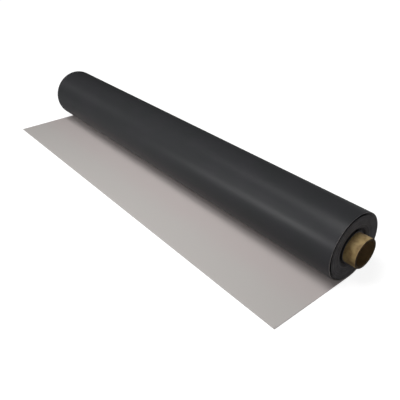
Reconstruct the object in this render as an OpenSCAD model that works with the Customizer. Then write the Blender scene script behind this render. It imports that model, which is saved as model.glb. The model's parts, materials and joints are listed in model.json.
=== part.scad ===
// Roll of PVC roofing membrane on a paperboard core, with its outer end unrolled on the floor.
// X runs along the roll, Y across it with the loose end towards -Y, and Z is up.
// The origin lies on the floor, below the middle of the whole object's footprint.
// All sizes are in millimetres.

/* [Membrane] */
// Width of the sheet, which is the length of the roll
sheet_width = 1540; // [600:10:2100]
// Thickness of the sheet
sheet_thickness = 1.8; // [1.2:0.1:2.4]
// Whole length of the sheet, wound and loose
sheet_length = 15000; // [5000:500:25000]
// Length of the loose end that lies flat on the floor
loose_end = 290; // [150:5:900]

/* [Core tube] */
// Bore of the tube
core_bore = 76.2; // [50:0.1:160]
// Wall of the tube
core_wall = 6; // [3:0.5:13]
// How far the tube stands out of each end of the roll
core_overhang = 35; // [5:1:120]

/* [Edges] */
// Width of the groove where the edges of two turns meet, on the ends of the roll
turn_groove_width = 0.6; // [0.2:0.1:1]
// Depth of that groove
turn_groove_depth = 0.5; // [0.1:0.1:1]
// Chamfer on the rims of the tube
core_chamfer = 0.6; // [0.2:0.1:1]
// How deep the roll's weight beds its last turn into the loose end
bedding = 0.15; // [0.05:0.05:0.3]

/* [Hidden] */
$fn = 180;
OVERCUT = 1; // how far a cutting shape runs past what it cuts

core_r = core_bore / 2 + core_wall;

// The wound sheet fills the ring between the core and the outline. The outline is a spiral of two
// half turns about two centres: the back half has radius back_r, and the front half is smaller by
// half_step, so that it comes down on the sheet's own top face after one turn.
wound_length = sheet_length - loose_end;
half_step = (sheet_thickness - bedding) / 2;
mean_r = sqrt(core_r ^ 2 + sheet_thickness * wound_length / PI);
back_r = mean_r + half_step / 2;
front_r = back_r - half_step;
turns = floor((front_r - core_r) / sheet_thickness);

// Height of the roll's axis, and its place across the footprint, which runs from the roll's back
// to the loose end's free edge, or to the roll's front where the loose end is shorter than that
axis_z = back_r;
axis_y = (max(loose_end, front_r) - back_r) / 2;

// One half turn of the wound sheet, as the section that is turned about the roll's axis. Both
// ends have a groove at every turn. Radius is across, and the roll's length is up.
module wound_section(outer_r) {
    half = sheet_width / 2;
    difference() {
        translate([0, -half])
            square([outer_r, sheet_width]);
        for (turn = [1 : turns], end = [-1, 1])
            translate([outer_r - turn * sheet_thickness, end * half])
                polygon([
                    [-turn_groove_width / 2, end * OVERCUT],
                    [-turn_groove_width / 2, 0],
                    [0, -end * turn_groove_depth],
                    [turn_groove_width / 2, 0],
                    [turn_groove_width / 2, end * OVERCUT],
                ]);
    }
}

// Half of the wound sheet: side is 1 for the back half and -1 for the front half.
module wound_half(outer_r, side) {
    rotate([90, 0, 90])
        rotate_extrude(angle = 180, start = side > 0 ? -90 : 90)
            wound_section(outer_r);
}

// The whole sheet: its wound part, bored for the core, and its loose end.
module membrane() {
    color("#3a3b3d")
        translate([0, axis_y, 0])
            difference() {
                union() {
                    translate([0, 0, axis_z])
                        wound_half(back_r, 1);
                    translate([0, 0, axis_z + half_step])
                        wound_half(front_r, -1);
                    translate([-sheet_width / 2, -loose_end, 0])
                        cube([sheet_width, loose_end, sheet_thickness]);
                }
                translate([0, 0, axis_z])
                    rotate([0, 90, 0])
                        cylinder(r = core_r, h = sheet_width + 2 * OVERCUT, center = true);
            }
}

// The paperboard tube that the sheet is wound on.
module core_tube() {
    half = sheet_width / 2 + core_overhang;
    color("#8f7b57")
        translate([0, axis_y, axis_z])
            rotate([0, 90, 0])
                rotate_extrude()
                    polygon([
                        [core_bore / 2, -half],
                        [core_r - core_chamfer, -half],
                        [core_r, -half + core_chamfer],
                        [core_r, half - core_chamfer],
                        [core_r - core_chamfer, half],
                        [core_bore / 2, half],
                    ]);
}

membrane();
core_tube();
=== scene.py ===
import json
import logging
import math
import random
from dataclasses import dataclass, field
from enum import Enum

import bpy
from mathutils import Matrix, Vector


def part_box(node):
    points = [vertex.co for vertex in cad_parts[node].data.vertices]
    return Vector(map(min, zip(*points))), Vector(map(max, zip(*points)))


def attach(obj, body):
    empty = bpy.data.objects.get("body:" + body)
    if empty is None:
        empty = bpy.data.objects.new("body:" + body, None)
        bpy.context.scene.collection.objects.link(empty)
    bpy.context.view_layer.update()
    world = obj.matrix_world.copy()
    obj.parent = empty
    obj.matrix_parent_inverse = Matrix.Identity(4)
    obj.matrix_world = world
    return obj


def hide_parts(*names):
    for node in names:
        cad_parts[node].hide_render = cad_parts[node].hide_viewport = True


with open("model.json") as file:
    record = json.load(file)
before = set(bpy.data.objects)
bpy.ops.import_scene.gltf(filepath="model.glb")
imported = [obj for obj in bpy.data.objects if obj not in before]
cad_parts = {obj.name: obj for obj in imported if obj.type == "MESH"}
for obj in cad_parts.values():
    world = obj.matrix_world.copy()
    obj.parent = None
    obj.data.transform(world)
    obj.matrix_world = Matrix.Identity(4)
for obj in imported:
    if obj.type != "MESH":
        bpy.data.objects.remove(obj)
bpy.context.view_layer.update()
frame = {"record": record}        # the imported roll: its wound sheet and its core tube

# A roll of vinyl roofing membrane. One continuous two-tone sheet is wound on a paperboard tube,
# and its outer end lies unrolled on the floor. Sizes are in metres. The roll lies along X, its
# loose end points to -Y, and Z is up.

LOG = logging.getLogger("membrane_roll")
MM = 0.001
FULL_TURN = 2 * math.pi
WHITE = "#ffffff"
BLACK = "#000000"
CREASE = 30  # degrees: faces that meet at more than this meet in a sharp edge
CROWDING = 0.45  # how strongly crowded_ends moves points to the ends, from 0 to 1

Point = tuple[float, float, float]
Stops = tuple[tuple[float, str], ...]  # a colour ramp's places and hex colours


# ---------------------------------------------------------------- helpers


def linear(hex_colour: str) -> tuple[float, float, float, float]:
    """Turns an sRGB hex colour to the linear colour that a shader takes.

    Args:
        hex_colour: six hex digits, with or without a leading #.

    Returns:
        Red, green, blue and an alpha of 1.
    """
    digits = hex_colour.lstrip("#")
    parts = [int(digits[i : i + 2], 16) / 255 for i in (0, 2, 4)]
    red, green, blue = (
        c / 12.92 if c <= 0.04045 else ((c + 0.055) / 1.055) ** 2.4 for c in parts
    )
    return (red, green, blue, 1.0)


def smooth(x: float) -> float:
    """A step from 0 to 1 with level ends, as x goes from 0 to 1."""
    x = min(max(x, 0.0), 1.0)
    return (1 - math.cos(math.pi * x)) / 2


def crowded_ends(share: float) -> float:
    """Moves evenly spaced shares of a length towards its two ends."""
    return (1 - CROWDING) * share + CROWDING * smooth(share)


def add_node(
    tree: bpy.types.NodeTree,
    kind: str,
    settings: dict[str, object] | None = None,
    links: dict[str | int, object] | None = None,
) -> bpy.types.Node:
    """Adds one node with its settings and links.

    Args:
        tree: the material's node tree.
        kind: the node's Blender type, such as "ShaderNodeMix".
        settings: node properties by name, socket defaults by "in:NAME" or "in:INDEX", and a
            ramp's (place, hex colour) pairs by "stops".
        links: what feeds each input socket, by its name or index. A node stands for its first
            output.

    Returns:
        The new node.
    """
    node = tree.nodes.new(kind)
    for name, value in (settings or {}).items():
        if name.startswith("in:"):
            key = name[3:]
            node.inputs[int(key) if key.isdigit() else key].default_value = value
        elif name == "stops":
            ramp = node.color_ramp.elements
            while len(ramp) < len(value):
                ramp.new(0.5)  # its place is set below
            for element, (place, colour) in zip(ramp, value):
                element.position, element.color = place, linear(colour)
        else:
            setattr(node, name, value)
    for key, source in (links or {}).items():
        output = source.outputs[0] if isinstance(source, bpy.types.Node) else source
        tree.links.new(output, node.inputs[key])
    return node


def new_material(name: str) -> tuple[bpy.types.Material, bpy.types.NodeTree]:
    """Makes a material with an empty node tree.

    Args:
        name: the material's name.

    Returns:
        The material and its tree.
    """
    material = bpy.data.materials.new(name)
    material.use_nodes = True
    material.node_tree.nodes.clear()
    return material, material.node_tree


@dataclass
class MeshDraft:
    """A mesh in the making: its points and their turns, its faces, and each face's finish."""

    points: list[Point] = field(default_factory=list)
    faces: list[tuple[int, ...]] = field(default_factory=list)
    slots: list[int] = field(default_factory=list)
    turns: list[float] = field(default_factory=list)

    def add_loop(self, loop: list[Point], turn: float = 0.0) -> list[int]:
        """Adds a loop of points.

        Args:
            loop: the points in order.
            turn: how many turns in from the outside the loop is.

        Returns:
            The points' numbers.
        """
        start = len(self.points)
        self.points += loop
        self.turns += [turn] * len(loop)
        return list(range(start, start + len(loop)))

    def add_face(self, corners: tuple[int, ...], slot: Enum) -> None:
        """Adds a face with the finish of that slot."""
        self.faces.append(corners)
        self.slots.append(slot.value)

    def build(self, name: str, finishes: list[bpy.types.Material]) -> bpy.types.Object:
        """Turns the draft into an object in the scene.

        Args:
            name: the piece's name.
            finishes: a material for each slot.

        Returns:
            The object.
        """
        mesh = bpy.data.meshes.new(name)
        mesh.from_pydata(self.points, [], self.faces)
        for material in finishes:
            mesh.materials.append(material)
        mesh.polygons.foreach_set("material_index", self.slots)
        mesh.polygons.foreach_set("use_smooth", [True] * len(self.faces))
        mesh.update()
        mesh.set_sharp_from_angle(angle=math.radians(CREASE))
        turn = mesh.attributes.new("turn", "FLOAT", "POINT")
        turn.data.foreach_set("value", self.turns)
        piece = bpy.data.objects.new(name, mesh)
        bpy.context.scene.collection.objects.link(piece)
        return piece


# ---------------------------------------------------------------- finishes


@dataclass(frozen=True)
class CalenderedVinyl:
    """Plasticised PVC, calendered between steel rolls: the sheet's charcoal outside.

    It gives an even, slightly blue-black colour with a soft satin sheen, broken by a very fine
    leathery grain that the rolls leave. A bloom of plasticiser dulls the sheen to well below
    that of bare PVC, whose IOR is 1.53, so the IOR is matched lower. The grain is drawn about
    twice as coarse as it is, because it is too fine to show.
    """

    name: str = "vinyl_charcoal_calendered"
    colour: str = "#2d2d2f"
    deep: str = "#2b2c2d"
    colour_span: tuple[float, float] = (0.35, 0.65)  # of the cloud, from deep to colour
    roughness: float = 0.35
    roughness_swing: float = 0.03  # either way
    ior: float = 1.19
    grain: float = 1.1 * MM
    grain_height: float = 0.035 * MM
    cloud: float = 90 * MM

    def make(self) -> bpy.types.Material:
        """Builds the material.

        Returns:
            The finished material.
        """
        material, tree = new_material(self.name)
        where = add_node(tree, "ShaderNodeTexCoord").outputs["Object"]
        cloud = add_node(
            tree,
            "ShaderNodeTexNoise",
            {"in:Scale": 1 / self.cloud, "in:Detail": 3.0, "in:Roughness": 0.55},
            {"Vector": where},
        )
        colour = add_node(
            tree,
            "ShaderNodeValToRGB",
            {"stops": tuple(zip(self.colour_span, (self.deep, self.colour)))},
            {0: cloud},
        )
        rough = add_node(
            tree,
            "ShaderNodeMapRange",
            {
                "in:To Min": self.roughness - self.roughness_swing,
                "in:To Max": self.roughness + self.roughness_swing,
            },
            {"Value": cloud},
        )
        grain = add_node(
            tree,
            "ShaderNodeTexNoise",
            {"in:Scale": 1 / self.grain, "in:Detail": 4.0, "in:Roughness": 0.6},
            {"Vector": where},
        )
        bump = add_node(
            tree,
            "ShaderNodeBump",
            {"in:Strength": 0.6, "in:Distance": self.grain_height},
            {"Height": grain},
        )
        shader = add_node(
            tree,
            "ShaderNodeBsdfPrincipled",
            {"in:IOR": self.ior},
            {"Base Color": colour, "Roughness": rough, "Normal": bump},
        )
        add_node(tree, "ShaderNodeOutputMaterial", links={"Surface": shader})
        return material


@dataclass(frozen=True)
class ScrimBackedVinyl:
    """Plasticised PVC, spread-coated on a polyester scrim: the sheet's warm light grey inside.

    It gives a dull, chalky, even grey, and the scrim's square weave shows through it as a faint
    relief. The strip that has just come off the roll is a trace rosier than the free end, which
    has lain open.
    """

    name: str = "vinyl_warm_grey_matt"
    aired: str = "#a9a5a2"
    fresh: str = "#aaa2a0"
    aired_turn: float = -0.8  # rosiness starts here on the loose end, which runs from -1 to 0
    fresh_turn: float = -0.4  # and is full from here to the roll
    cloud_share: float = 0.4  # of the tint that is random and not the place on the loose end
    tint_span: tuple[float, float] = (0.2, 0.8)  # of the tint, from aired to fresh
    roughness: float = 0.8
    ior: float = 1.5
    cloud: float = 160 * MM
    yarn_spacing: float = 2.8 * MM
    yarn_height: float = 0.02 * MM

    def make(self) -> bpy.types.Material:
        """Builds the material.

        Returns:
            The finished material.
        """
        material, tree = new_material(self.name)
        where = add_node(tree, "ShaderNodeTexCoord").outputs["Object"]
        cloud = add_node(
            tree,
            "ShaderNodeTexNoise",
            {"in:Scale": 1 / self.cloud, "in:Detail": 2.0},
            {"Vector": where},
        )
        turn = add_node(tree, "ShaderNodeAttribute", {"attribute_name": "turn"}).outputs["Fac"]
        freshness = add_node(
            tree,
            "ShaderNodeMapRange",
            {
                "interpolation_type": "SMOOTHSTEP",
                "in:From Min": self.aired_turn,
                "in:From Max": self.fresh_turn,
            },
            {"Value": turn},
        )
        tint = add_node(
            tree, "ShaderNodeMix", {"in:0": self.cloud_share}, {2: freshness, 3: cloud}
        )
        colour = add_node(
            tree,
            "ShaderNodeValToRGB",
            {"stops": tuple(zip(self.tint_span, (self.aired, self.fresh)))},
            {0: tint},
        )
        # A wave texture has one band for every pi / 10 of a unit at a scale of 1.
        yarns = [
            add_node(
                tree,
                "ShaderNodeTexWave",
                {"bands_direction": axis, "in:Scale": math.pi / 10 / self.yarn_spacing},
                {"Vector": where},
            )
            for axis in ("X", "Y")
        ]
        weave = add_node(
            tree, "ShaderNodeMath", {"operation": "ADD"}, {0: yarns[0], 1: yarns[1]}
        )
        bump = add_node(
            tree,
            "ShaderNodeBump",
            {"in:Strength": 0.5, "in:Distance": self.yarn_height},
            {"Height": weave},
        )
        shader = add_node(
            tree,
            "ShaderNodeBsdfPrincipled",
            {"in:IOR": self.ior, "in:Roughness": self.roughness},
            {"Base Color": colour, "Normal": bump},
        )
        add_node(tree, "ShaderNodeOutputMaterial", links={"Surface": shader})
        return material


@dataclass(frozen=True)
class SlitEdge:
    """Plasticised PVC, slit by a rotary knife: the sheet's long edges and cut ends.

    The cut is dull. On the roll it is dark, and some turns are rubbed lighter or darker than
    others, so that faint rings show on the ends. The rings are drawn about 1.4 turns wide,
    because one turn is too fine to show. Where the sheet comes off the roll the edge is pale,
    like the inside. Down the front the outer turn's edge is painted about three quarters as
    pale, as a painted highlight where the rim catches light.
    """

    # this finish also goes on the pale inside of the wound turns, where it shows in the gaps at
    # the ends: painted shade
    name: str = "vinyl_slit_edge"
    dark: str = "#535153"
    rubbed: str = "#727072"
    # painted highlight: pale paint on the outer turn's edge down the front, where the rim
    # catches light
    edge_highlight: str = "#e0e0e0"
    pale: str = "#aba5a2"
    roughness: float = 0.6
    ior: float = 1.33
    rings_per_turn: float = 0.7
    smudge: float = 30 * MM
    smudge_share: float = 0.5  # of the wear that is smudges and not rings
    wear_span: tuple[float, float] = (0.36, 0.64)  # of the wear, from dark to rubbed
    ramp_reach: float = 1.25  # turns that the ramp of paleness covers
    dark_turns: tuple[float, float] = (0.25, 0.525)  # the outer turn is dark between these
    highlight_turns: tuple[float, float] = (0.75, 1.0)  # and have the painted highlight between these
    highlight_end: float = 1.025  # the next turn is dark from here

    def make(self) -> bpy.types.Material:
        """Builds the material.

        Returns:
            The finished material.
        """
        material, tree = new_material(self.name)
        turn = add_node(tree, "ShaderNodeAttribute", {"attribute_name": "turn"}).outputs["Fac"]
        along = add_node(
            tree,
            "ShaderNodeMath",
            {"operation": "MULTIPLY", "in:1": self.rings_per_turn},
            {0: turn},
        )
        rings = add_node(
            tree,
            "ShaderNodeTexNoise",
            {"noise_dimensions": "1D", "in:Scale": 1.0, "in:Detail": 2.0},
            {"W": along},
        )
        where = add_node(tree, "ShaderNodeTexCoord").outputs["Object"]
        smudge = add_node(
            tree,
            "ShaderNodeTexNoise",
            {"in:Scale": 1 / self.smudge, "in:Detail": 4.0, "in:Roughness": 0.65},
            {"Vector": where},
        )
        wear = add_node(
            tree, "ShaderNodeMix", {"in:0": self.smudge_share}, {2: rings, 3: smudge}
        )
        wound = add_node(
            tree,
            "ShaderNodeValToRGB",
            {"stops": tuple(zip(self.wear_span, (self.dark, self.rubbed)))},
            {0: wear},
        )
        outer = add_node(
            tree, "ShaderNodeMapRange", {"in:From Max": self.ramp_reach}, {"Value": turn}
        )
        paleness = add_node(
            tree, "ShaderNodeValToRGB", {"stops": self.paleness_stops()}, {0: outer}
        )
        colour = add_node(
            tree,
            "ShaderNodeMix",
            {"data_type": "RGBA", "in:7": linear(self.pale)},
            {0: paleness, 6: wound},
        )
        shader = add_node(
            tree,
            "ShaderNodeBsdfPrincipled",
            {"in:IOR": self.ior, "in:Roughness": self.roughness},
            {"Base Color": colour.outputs[2]},
        )
        add_node(tree, "ShaderNodeOutputMaterial", links={"Surface": shader})
        return material

    def paleness_stops(self) -> Stops:
        """How pale the edge is along the outer turn: pale where the roll rests, and a painted
        highlight down the front.

        Returns:
            The ramp's stops, with white for pale.
        """
        # pale off the roll, then the painted highlight down the front of the outer turn
        turns = (0.0, *self.dark_turns, *self.highlight_turns, self.highlight_end)
        colours = (WHITE, BLACK, BLACK, self.edge_highlight, self.edge_highlight, BLACK)
        return tuple((turn / self.ramp_reach, colour) for turn, colour in zip(turns, colours))


@dataclass(frozen=True)
class KraftBoard:
    """Brown kraft paperboard, wound in a spiral from glued plies: the core tube's faces.

    It gives a dry mid brown with soft blotches, a mottle of short fibres and a few dark
    specks.
    """

    name: str
    colour: str
    deep: str
    speck: str = "#5e4a2c"
    colour_span: tuple[float, float] = (0.35, 0.65)  # of the blotches, from deep to colour
    speck_span: tuple[float, float] = (0.66, 0.74)  # of the mottle, from no speck to full
    roughness: float = 0.72
    ior: float = 1.5
    fibre: float = 3.0 * MM
    fibre_height: float = 0.06 * MM
    blotch: float = 14 * MM

    def make(self) -> bpy.types.Material:
        """Builds the material.

        Returns:
            The finished material.
        """
        material, tree = new_material(self.name)
        where = add_node(tree, "ShaderNodeTexCoord").outputs["Object"]
        cloud = add_node(
            tree,
            "ShaderNodeTexNoise",
            {"in:Scale": 1 / self.blotch, "in:Detail": 3.0},
            {"Vector": where},
        )
        base = add_node(
            tree,
            "ShaderNodeValToRGB",
            {"stops": tuple(zip(self.colour_span, (self.deep, self.colour)))},
            {0: cloud},
        )
        fibre = add_node(
            tree,
            "ShaderNodeTexNoise",
            {"in:Scale": 1 / self.fibre, "in:Detail": 6.0, "in:Roughness": 0.7},
            {"Vector": where},
        )
        speck = add_node(
            tree,
            "ShaderNodeValToRGB",
            {"stops": tuple(zip(self.speck_span, (BLACK, WHITE)))},
            {0: fibre},
        )
        colour = add_node(
            tree,
            "ShaderNodeMix",
            {"data_type": "RGBA", "in:7": linear(self.speck)},
            {0: speck, 6: base},
        )
        bump = add_node(
            tree,
            "ShaderNodeBump",
            {"in:Strength": 0.6, "in:Distance": self.fibre_height},
            {"Height": fibre},
        )
        shader = add_node(
            tree,
            "ShaderNodeBsdfPrincipled",
            {"in:IOR": self.ior, "in:Roughness": self.roughness},
            {"Base Color": colour.outputs[2], "Normal": bump},
        )
        add_node(tree, "ShaderNodeOutputMaterial", links={"Surface": shader})
        return material


# ---------------------------------------------------------------- the sheet


class SheetFace(Enum):
    """Which finish a face of the sheet has, as its material slot."""

    OUTSIDE = 0
    INSIDE = 1
    EDGE = 2


@dataclass(frozen=True)
class Station:
    """One place along the sheet: a point on its outside, the way in, and the turn.

    The turn counts in from where the roll rests, and is negative on the loose end.
    """

    y: float
    z: float
    in_y: float
    in_z: float
    turn: float


@dataclass(frozen=True)
class Wave:
    """One wave of the winding's wander: its turns per wave, its phase and its height."""

    period: float
    phase: float
    height: float

    def at(self, turn: float, side: int) -> float:
        """How far the wave moves the edge in, that many turns in, on one end of the roll."""
        return self.height * math.sin(FULL_TURN * turn / self.period + self.phase + side)


@dataclass
class WoundSheet:
    """The membrane: one sheet, wound on the core, with its outer end loose on the floor.

    Each turn is round, and over the top of the roll it steps in by the sheet's pitch, so that
    down the front the outer turn comes down on the loose end's top face. Towards the core the
    step gets shorter, and the innermost turn lies round on the tube up to the sheet's inner
    end.
    """

    axis_y: float
    roll_radius: float
    core_radius: float
    half_width: float
    free_edge_y: float
    thickness: float = 1.8 * MM
    turns: int = 31
    segments: int = 96  # stations in a turn
    fine_segments: int = 144  # stations in an outer turn, which shows
    fine_turns: float = 1.1  # how many turns in the sheet has every column
    columns: int = 72  # faces across the width
    chamfer: float = 0.28 * MM
    loose_rows: int = 40  # stations on the loose end
    step_start: float = 0.5  # the turn, at the top, where each step in begins
    step_outer: float = 0.5  # how much of a turn the outermost step takes
    step_inner: float = 0.06  # and the innermost
    step_turns: int = 12  # turns from the core over which the step gets longer
    gape_depth: float = 12.0 * MM
    gape_start: float = 0.40  # share of its turn where the gape begins
    gape_ends: tuple[float, ...] = (0.97, 0.95, 0.92, 0.85)  # and ends, turn by turn
    gape_ease: float = 0.06  # share of a turn that it takes to open or close
    end_recess: float = 0.5 * MM
    end_ease: float = 0.5  # turns that it takes to reach end_recess
    dish_depth: float = 5.0 * MM
    dish_turns: float = 13.0  # how many turns out from the core the dish reaches
    well_depth: float = 12.0 * MM
    well_turns: float = 7.0  # how many turns out from the core the well reaches
    well_steepness: float = 1.3  # above 1, the well has a level floor by the core
    collar_recess: float = 2.0 * MM
    collar_turns: float = 1.2
    collar_ease: float = 0.1  # turns from the well's floor up to the collar
    recess_reach: float = 60 * MM  # how far along the roll the recess fades out
    wander: tuple[tuple[float, float], ...] = (  # turns per wave, height
        (1.03, 0.1 * MM),
        (2.7, 0.18 * MM),
        (5.3, 0.25 * MM),
        (11.0, 0.2 * MM),
    )
    seed: int = 11
    nearly: float = 1e-6  # turns: less than this before the inner end counts as there

    @property
    def pitch(self) -> float:
        """How far the sheet's outside moves in with each turn."""
        return (self.roll_radius - self.core_radius - self.thickness) / self.turns

    def outer_radius(self, turn: float) -> float:
        """Distance from the axis to the sheet's outside.

        Args:
            turn: turns in from where the roll rests on the floor; whole numbers are at the
                bottom, and halves are at the top.

        Returns:
            The radius.
        """
        past = turn - self.step_start
        if past < 0:
            return self.roll_radius
        whole = math.floor(past)
        width = self.step_inner + (self.step_outer - self.step_inner) * smooth(
            (self.turns - whole) / self.step_turns
        )
        return self.roll_radius - self.pitch * (whole + smooth((past - whole) / width))

    def on_roll(self, turn: float) -> Station:
        """The station at one place on the roll.

        Args:
            turn: turns in from the bottom.

        Returns:
            The station.
        """
        angle = FULL_TURN * turn
        radius = self.outer_radius(turn)
        across, up = math.sin(angle), -math.cos(angle)
        y = self.axis_y + radius * across
        z = self.roll_radius + radius * up
        return Station(y, z, -across, -up, turn)

    def route(self) -> list[Station]:
        """The sheet's path across the roll, from its free edge in to the core.

        Returns:
            The stations in order.
        """
        stations = []
        start = self.free_edge_y + self.chamfer
        for row in range(self.loose_rows):
            share = row / self.loose_rows
            y = start + (self.axis_y - start) * share
            stations.append(Station(y, 0.0, 0.0, 1.0, share - 1.0))
        total = self.turns + self.step_start
        turn = 0.0
        while turn < total - self.nearly:
            stations.append(self.on_roll(turn))
            turn += 1 / (self.fine_segments if turn < self.fine_turns else self.segments)
        stations.append(self.on_roll(total))
        return stations

    def edge_recess(self, turn: float, side: int, waves: list[Wave]) -> float:
        """How far the sheet's edge lies in from the roll's end.

        The outer turn stands flush. Down the front of the roll the next few turns gape away
        from it. The others wander a little, and dish in towards the core, where they leave a
        dark well. The innermost turn stands up from the well as a collar round the tube.

        Args:
            turn: turns in from the bottom; negative on the loose end.
            side: 1 for the end at +X, -1 for the other.
            waves: the winding's wander.

        Returns:
            The recess in metres, never negative.
        """
        if turn <= 1.0:
            return 0.0
        wander = sum(wave.at(turn, side) for wave in waves)
        inward = turn - self.turns
        body = self.end_recess * smooth((turn - 1.0) / self.end_ease)
        body += wander * smooth(turn - 1.0)
        body += self.dish_depth * smooth(inward / self.dish_turns + 1)
        body += self.well_depth * smooth(self.well_steepness * (inward / self.well_turns + 1))
        past_collar = turn - self.turns - self.step_start + self.collar_turns
        to_collar = smooth(past_collar / self.collar_ease)
        body += (self.collar_recess - body) * to_collar
        return max(0.0, body) + self.gape_depth * self.gape(turn)

    def gape(self, turn: float) -> float:
        """How far the turns under the outer one gape away from it at one place.

        Args:
            turn: turns in from the bottom.

        Returns:
            A share of the gape's depth, from 0 to 1.
        """
        inward = int(turn) - 1
        if not 0 <= inward < len(self.gape_ends):
            return 0.0
        share = turn % 1.0
        end = self.gape_ends[inward]
        opened = smooth((share - self.gape_start) / self.gape_ease)
        return opened * smooth((end - share) / self.gape_ease)

    def build(self, finishes: list[bpy.types.Material]) -> bpy.types.Object:
        """Builds the sheet.

        Args:
            finishes: a material for each SheetFace.

        Returns:
            The sheet.
        """
        draw = random.Random(self.seed)
        waves = [Wave(p, draw.uniform(0, FULL_TURN), height) for p, height in self.wander]
        inner = self.half_width - self.chamfer
        across = [
            inner * (2 * crowded_ends(k / self.columns) - 1) for k in range(self.columns + 1)
        ]
        draft = MeshDraft()
        before: list[int] = []
        fine_before = True
        for station in self.route():
            fine = station.turn < self.fine_turns
            xs = across if fine else [across[0], across[-1]]
            here = draft.add_loop(self.loop(xs, station, waves), station.turn)
            wound = station.turn > 0.0
            if not before:
                self.cap(draft, here, len(xs), False)
            elif fine == fine_before:
                self.join(draft, before, here, len(xs), wound)
            else:
                self.narrow(draft, before, here, len(across))
            before, fine_before = here, fine
        self.cap(draft, before, 2, True)
        return draft.build("wound_sheet", finishes)

    def loop(self, xs: list[float], station: Station, waves: list[Wave]) -> list[Point]:
        """The loop of points round the sheet's section at one station.

        Args:
            xs: places across the width, from -X to +X.
            station: where along the sheet.
            waves: the winding's wander.

        Returns:
            The outside's points, the two edge points at +X, the inside's points back again,
            and the two edge points at -X.
        """
        c, t = self.chamfer, self.thickness
        low = self.edge_recess(station.turn, -1, waves)
        high = self.edge_recess(station.turn, 1, waves)
        reach = self.recess_reach

        def at(x: float, depth: float) -> Point:
            """One point of the section, with the ends' recess.

            Args:
                x: along the roll.
                depth: in from the sheet's outside.

            Returns:
                The point.
            """
            to_high = smooth((x - self.half_width + reach) / reach)
            to_low = smooth((-x - self.half_width + reach) / reach)
            return (
                x - high * to_high + low * to_low,
                station.y + station.in_y * depth,
                station.z + station.in_z * depth,
            )

        outside = [at(x, 0.0) for x in xs]
        right = [at(self.half_width, c), at(self.half_width, t - c)]
        inside = [at(x, t) for x in reversed(xs)]
        left = [at(-self.half_width, t - c), at(-self.half_width, c)]
        loop = outside + right + inside + left
        if station.turn <= -1.0:  # the free edge, whose rim is chamfered
            shrink = 1 - c / self.half_width
            loop = [(x * shrink, y - c, min(max(h, c), t - c)) for x, y, h in loop]
        return loop

    @staticmethod
    def join(draft: MeshDraft, a: list[int], b: list[int], count: int, wound: bool) -> None:
        """Joins two like loops with quads.

        Args:
            draft: the mesh, added to.
            a: the earlier loop.
            b: the later loop.
            count: points across the width.
            wound: whether the inside is tucked away in the roll. There it shows only in the
            gaps at the ends, and takes the dark edge finish in place of its own pale one,
            as painted shade.
        """
        size = len(a)
        for k in range(size):
            n = (k + 1) % size
            if k < count - 1:
                slot = SheetFace.OUTSIDE
            # on the wound turns the pale inside takes the edge finish: painted shade in the end
            # gaps
            elif count + 2 <= k < 2 * count + 1 and not wound:
                slot = SheetFace.INSIDE
            else:
                slot = SheetFace.EDGE
            draft.add_face((a[k], b[k], b[n], a[n]), slot)

    @staticmethod
    def narrow(draft: MeshDraft, a: list[int], b: list[int], count: int) -> None:
        """Joins a loop of many points across the width to one of two.

        Args:
            draft: the mesh, added to.
            a: the loop with many points.
            b: the loop with two across, of eight points in all.
            count: points across the width in a.
        """
        out, far = a[:count], a[count + 2 : 2 * count + 2]
        draft.add_face((b[0], b[1], *reversed(out)), SheetFace.OUTSIDE)
        draft.add_face((b[4], b[5], *reversed(far)), SheetFace.EDGE)
        right = [a[count - 1], a[count], a[count + 1], a[count + 2]]
        left = [a[2 * count + 1], a[2 * count + 2], a[2 * count + 3], a[0]]
        for wide, few in ((right, b[1:5]), (left, [b[5], b[6], b[7], b[0]])):
            for k in range(3):
                draft.add_face((wide[k], few[k], few[k + 1], wide[k + 1]), SheetFace.EDGE)

    @staticmethod
    def cap(draft: MeshDraft, loop: list[int], count: int, last: bool) -> None:
        """Closes one end of the sheet with a strip of quads.

        Args:
            draft: the mesh, added to.
            loop: the end's loop.
            count: points across the width.
            last: whether this is the inner end, which faces the other way.
        """
        out, far = loop[:count], loop[count + 2 : 2 * count + 2][::-1]
        quads = [(out[k], out[k + 1], far[k + 1], far[k]) for k in range(count - 1)]
        quads.append((out[-1], loop[count], loop[count + 1], far[-1]))
        quads.append((far[0], loop[2 * count + 2], loop[2 * count + 3], out[0]))
        for quad in quads:
            draft.add_face(quad[::-1] if last else quad, SheetFace.EDGE)


# ---------------------------------------------------------------- the core


class BoardFace(Enum):
    """Which finish a face of the tube has, as its material slot."""

    OUTSIDE = 0
    RIM = 1
    BORE = 2


@dataclass(frozen=True)
class Rib:
    """One ring of points on the tube's section.

    The seam is 1 where an outer seam shows, -1 where the bore's does, and 0 elsewhere.
    """

    x: float
    radius: float
    seam: int
    face: BoardFace


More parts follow.
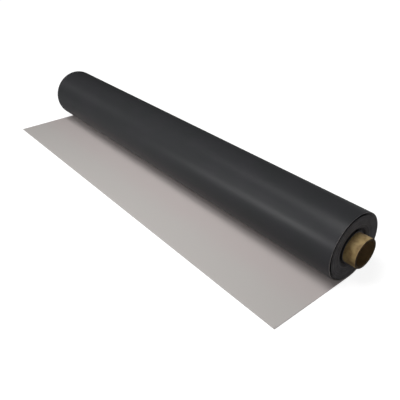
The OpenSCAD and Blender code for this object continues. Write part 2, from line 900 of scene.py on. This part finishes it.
@dataclass
class CoreTube:
    """The paperboard tube: spiral-wound plies, with a helical seam inside and out."""

    axis_y: float
    axis_z: float
    bore_radius: float
    outer_radius: float
    half_length: float
    overhang: float
    around: int = 240  # points round a ring
    chamfer: float = 0.4 * MM
    seam_width: float = 1.6 * MM
    seam_depth: float = 0.22 * MM
    seam_lead: float = 190 * MM  # along the tube in one turn
    bore_seam_lead: float = -171 * MM
    seam_slant: float = 0.82  # width across a seam, as a share of its width along the tube
    plies: int = 9
    ply_groove: float = 0.12 * MM
    bore_shown: float = 150 * MM  # how far in the bore has its seam
    seam_rings: int = 34  # rings on the outside, from the roll's end to the rim
    bore_rings: int = 40  # rings along bore_shown
    plain_rings: int = 4  # rings on each plain stretch inside the roll

    def seam(self, x: float, angle: float, lead: float) -> float:
        """How deep the gap between two widths of the ply is at a point.

        Args:
            x: along the tube.
            angle: round the tube.
            lead: how far the ply advances in one turn.

        Returns:
            The depth in metres.
        """
        phase = (x / lead - angle / FULL_TURN) % 1.0
        across = min(phase, 1 - phase) * abs(lead) * self.seam_slant
        return self.seam_depth * (1 - smooth(across / (self.seam_width / 2)))

    def section(self) -> list[Rib]:
        """Half of the tube's section, from the middle of the outside to that of the bore.

        Returns:
            The ribs in order.
        """
        end, edge = self.half_length, self.chamfer
        root = end - self.overhang
        plain = self.plain_rings
        ribs = [
            Rib(root * k / plain, self.outer_radius, 0, BoardFace.OUTSIDE) for k in range(plain)
        ]
        for k in range(self.seam_rings + 1):
            x = root + (end - edge - root) * k / self.seam_rings
            ribs.append(Rib(x, self.outer_radius, 1, BoardFace.OUTSIDE))
        wall = self.outer_radius - self.bore_radius - 2 * edge
        for k in range(2 * self.plies + 1):
            radius = self.outer_radius - edge - wall * k / (2 * self.plies)
            dip = self.ply_groove if k % 2 else 0.0
            ribs.append(Rib(end - dip, radius, 0, BoardFace.RIM))
        for k in range(self.bore_rings):
            x = end - edge - (self.bore_shown - edge) * k / (self.bore_rings - 1)
            ribs.append(Rib(x, self.bore_radius, -1, BoardFace.BORE))
        inner = end - self.bore_shown
        for k in reversed(range(plain)):
            ribs.append(Rib(inner * k / plain, self.bore_radius, 0, BoardFace.BORE))
        return ribs

    def build(self, finishes: list[bpy.types.Material]) -> bpy.types.Object:
        """Builds the tube.

        Args:
            finishes: a material for each BoardFace.

        Returns:
            The tube.
        """
        half = self.section()
        mirrored = [Rib(-rib.x, rib.radius, rib.seam, rib.face) for rib in half[1:-1]]
        draft = MeshDraft()
        rings = [(rib, self.ring(draft, rib)) for rib in half + mirrored[::-1]]
        for (rib, here), (after, there) in zip(rings, rings[1:] + rings[:1]):
            slot = BoardFace.RIM if BoardFace.RIM in (rib.face, after.face) else rib.face
            for j in range(self.around):
                n = (j + 1) % self.around
                draft.add_face((here[j], here[n], there[n], there[j]), slot)
        return draft.build("core_board_tube", finishes)

    def ring(self, draft: MeshDraft, rib: Rib) -> list[int]:
        """Adds one ring of points round the tube.

        Args:
            draft: the mesh, added to.
            rib: where on the section the ring is.

        Returns:
            The points' numbers.
        """
        lead = self.seam_lead if rib.seam > 0 else self.bore_seam_lead
        loop = []
        for j in range(self.around):
            angle = FULL_TURN * j / self.around
            radius = rib.radius - self.seam(rib.x, angle, lead) * rib.seam
            y = self.axis_y + radius * math.cos(angle)
            z = self.axis_z + radius * math.sin(angle)
            loop.append((rib.x, y, z))
        return draft.add_loop(loop)


# ---------------------------------------------------------------- the studio


@dataclass(frozen=True)
class Softbox:
    """One rectangular soft light, aimed near the roll's middle. Its power is in watts."""

    name: str
    place: Point
    width: float
    height: float
    power: float
    aim: Point = (0.1, 0.0, 0.1)

    def build(self) -> None:
        """Adds the light to the scene."""
        data = bpy.data.lights.new(self.name, "AREA")
        data.shape = "RECTANGLE"
        data.size, data.size_y = self.width, self.height
        data.energy = self.power
        lamp = bpy.data.objects.new(self.name, data)
        lamp.location = self.place
        towards = Vector(self.aim) - Vector(self.place)
        lamp.rotation_mode = "QUATERNION"
        lamp.rotation_quaternion = towards.to_track_quat("-Z", "Y")
        bpy.context.scene.collection.objects.link(lamp)


@dataclass(frozen=True)
class Viewpoint:
    """The camera: where it stands, which way it looks in degrees, and its lens in mm."""

    place: Point = (1.2785, -0.8338, 0.8761)
    heading: float = -50.934
    dip: float = 32.398
    lean: float = -0.658
    lens: float = 42.886
    sensor_width: float = 36.0

    def build(self) -> None:
        """Adds the camera and makes it the scene's."""
        yaw, pitch, roll = (math.radians(a) for a in (self.heading, self.dip, self.lean))
        forward = Vector(
            (
                math.sin(yaw) * math.cos(pitch),
                math.cos(yaw) * math.cos(pitch),
                -math.sin(pitch),
            )
        )
        level = Vector((math.cos(yaw), -math.sin(yaw), 0.0))
        above = level.cross(forward)
        right = level * math.cos(roll) + above * math.sin(roll)
        up = above * math.cos(roll) - level * math.sin(roll)
        data = bpy.data.cameras.new("camera")
        data.lens = self.lens
        data.sensor_width = self.sensor_width
        camera = bpy.data.objects.new("camera", data)
        turn = Matrix((right, up, -forward)).transposed().to_4x4()
        camera.matrix_world = Matrix.Translation(self.place) @ turn
        bpy.context.scene.collection.objects.link(camera)
        bpy.context.scene.camera = camera


@dataclass
class Studio:
    """The plain pale floor, the soft light, the white surround and the camera.

    The floor is whitened to floor_glow near the roll, where the lamps light it too and it keeps
    the roll's shadow, and to full white from floor_far outwards.
    """

    floor_half: float = 6.0
    floor_drop: float = 0.2 * MM  # below the sheet, so that the two don't lie in one plane
    floor_shade: float = 0.3
    floor_glow: float = 0.86
    floor_near: float = 1.0
    floor_far: float = 2.8
    ambient: float = 0.04  # strength of the surround as a light
    in_gloss: float = 0.05  # and in reflections
    viewpoint: Viewpoint = field(default_factory=Viewpoint)
    softboxes: tuple[Softbox, ...] = (
        Softbox("softbox_overhead", (0.4, -0.7, 1.7), 0.8, 0.8, 19.6),
        Softbox("softbox_high", (0.0, -0.4, 2.8), 0.8, 0.8, 19.3),
        Softbox("softbox_high_far", (-1.2, -0.6, 2.8), 0.8, 0.8, 10.5),
        Softbox("softbox_front", (-1.0, -1.8, 1.6), 0.8, 0.8, 7.0),
        Softbox("softbox_low_front", (-1.6, -2.4, 0.5), 0.8, 0.8, 11.0),
        Softbox("softbox_front_strip", (-0.7, -2.4, 0.72), 0.8, 0.6, 28.0),
        Softbox("softbox_left", (-2.5, -0.9, 1.2), 0.8, 0.8, 1.6),
        Softbox("softbox_right", (2.2, -1.3, 1.3), 0.8, 0.8, 7.0),
        Softbox("softbox_back", (0.7, 2.6, 0.8), 1.6, 0.8, 17.0),
    )

    def build(self) -> None:
        """Builds the whole studio."""
        self.build_world()
        self.build_floor()
        for softbox in self.softboxes:
            softbox.build()
        self.viewpoint.build()
        bpy.context.scene.view_settings.view_transform = "Standard"

    def build_world(self) -> None:
        """The surround: white to the camera and through glass, and dim as a light.

        It is dim in gloss too. The roll has no metal or glass, and a white surround would draw
        pale rims along the dark vinyl, which are not there.
        """
        world = bpy.data.worlds.new("surround")
        bpy.context.scene.world = world
        world.use_nodes = True
        tree = world.node_tree
        tree.nodes.clear()
        rays = add_node(tree, "ShaderNodeLightPath")
        seen = add_node(
            tree,
            "ShaderNodeMath",
            {"operation": "MAXIMUM"},
            {0: rays.outputs["Is Camera Ray"], 1: rays.outputs["Is Transmission Ray"]},
        )
        gloss = add_node(
            tree,
            "ShaderNodeMapRange",
            {"in:To Min": self.ambient, "in:To Max": self.in_gloss},
            {"Value": rays.outputs["Is Glossy Ray"]},
        )
        light = add_node(
            tree, "ShaderNodeBackground", {"in:Color": linear(WHITE)}, {"Strength": gloss}
        )
        white = add_node(
            tree, "ShaderNodeBackground", {"in:Color": linear(WHITE), "in:Strength": 1.0}
        )
        mix = add_node(tree, "ShaderNodeMixShader", links={0: seen, 1: light, 2: white})
        add_node(tree, "ShaderNodeOutputWorld", links={"Surface": mix})

    def build_floor(self) -> None:
        """A matt floor, white to the camera, that keeps the object's shadow."""
        material, tree = new_material("studio_floor_matt_white")
        rays = add_node(tree, "ShaderNodeLightPath")
        shade = self.floor_shade
        matt = add_node(tree, "ShaderNodeBsdfDiffuse", {"in:Color": (shade, shade, shade, 1.0)})
        where = add_node(tree, "ShaderNodeTexCoord").outputs["Object"]
        distance = add_node(tree, "ShaderNodeVectorMath", {"operation": "LENGTH"}, {0: where})
        whiteness = add_node(
            tree,
            "ShaderNodeMapRange",
            {
                "interpolation_type": "SMOOTHSTEP",
                "in:From Min": self.floor_near,
                "in:From Max": self.floor_far,
                "in:To Min": self.floor_glow,
                "in:To Max": 1.0,
            },
            {"Value": distance.outputs["Value"]},
        )
        glow = add_node(
            tree,
            "ShaderNodeEmission",
            {"in:Color": linear(WHITE)},
            {"Strength": whiteness},
        )
        lit = add_node(tree, "ShaderNodeAddShader", links={0: matt, 1: glow})
        mix = add_node(
            tree,
            "ShaderNodeMixShader",
            links={0: rays.outputs["Is Camera Ray"], 1: matt, 2: lit},
        )
        add_node(tree, "ShaderNodeOutputMaterial", links={"Surface": mix})
        half = self.floor_half
        mesh = bpy.data.meshes.new("studio_floor")
        corners = [(-half, -half), (half, -half), (half, half), (-half, half)]
        mesh.from_pydata([(x, y, 0.0) for x, y in corners], [], [(0, 1, 2, 3)])
        mesh.materials.append(material)
        floor = bpy.data.objects.new("studio_floor", mesh)
        floor.location.z = -self.floor_drop
        bpy.context.scene.collection.objects.link(floor)


# ---------------------------------------------------------------- main


def main() -> None:
    """Builds the studio, the sheet and the core, and reports each."""
    Studio().build()
    sheet_low, sheet_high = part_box("membrane")
    core_low, core_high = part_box("core_tube")
    bore = next(m for m in frame["record"]["mounts"] if m["name"] == "core_bore")
    axis_y = (core_low.y + core_high.y) / 2
    axis_z = sheet_high.z / 2
    core_radius = (core_high.z - core_low.z) / 2
    sheet = WoundSheet(
        axis_y=axis_y,
        roll_radius=axis_z,
        core_radius=core_radius,
        half_width=sheet_high.x,
        free_edge_y=sheet_low.y,
    )
    wound = sheet.build([CalenderedVinyl().make(), ScrimBackedVinyl().make(), SlitEdge().make()])
    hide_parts("membrane")
    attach(wound, "root")
    LOG.info("wound_sheet: %d faces", len(wound.data.polygons))

    tube = CoreTube(
        axis_y=axis_y,
        axis_z=axis_z,
        bore_radius=bore["dims"]["r_mm"] * MM,
        outer_radius=core_radius,
        half_length=core_high.x,
        overhang=core_high.x - sheet_high.x,
    ).build(
        [
            KraftBoard("kraft_board_spiral_wound", "#9e8759", "#745c36").make(),
            KraftBoard("kraft_board_sawn_end", "#5c4a30", "#463622").make(),
            # the bore's board is darker than the outside: painted shade for the dim inside of
            # the tube
            KraftBoard("kraft_board_bore_painted_shade", "#745b38", "#614d2f").make(),
        ]
    )
    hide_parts("core_tube")
    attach(tube, "root")
    LOG.info("core_board_tube: %d faces", len(tube.data.polygons))


if __name__ == "__main__":
    logging.basicConfig(level=logging.INFO, format="%(name)s: %(message)s")
    main()
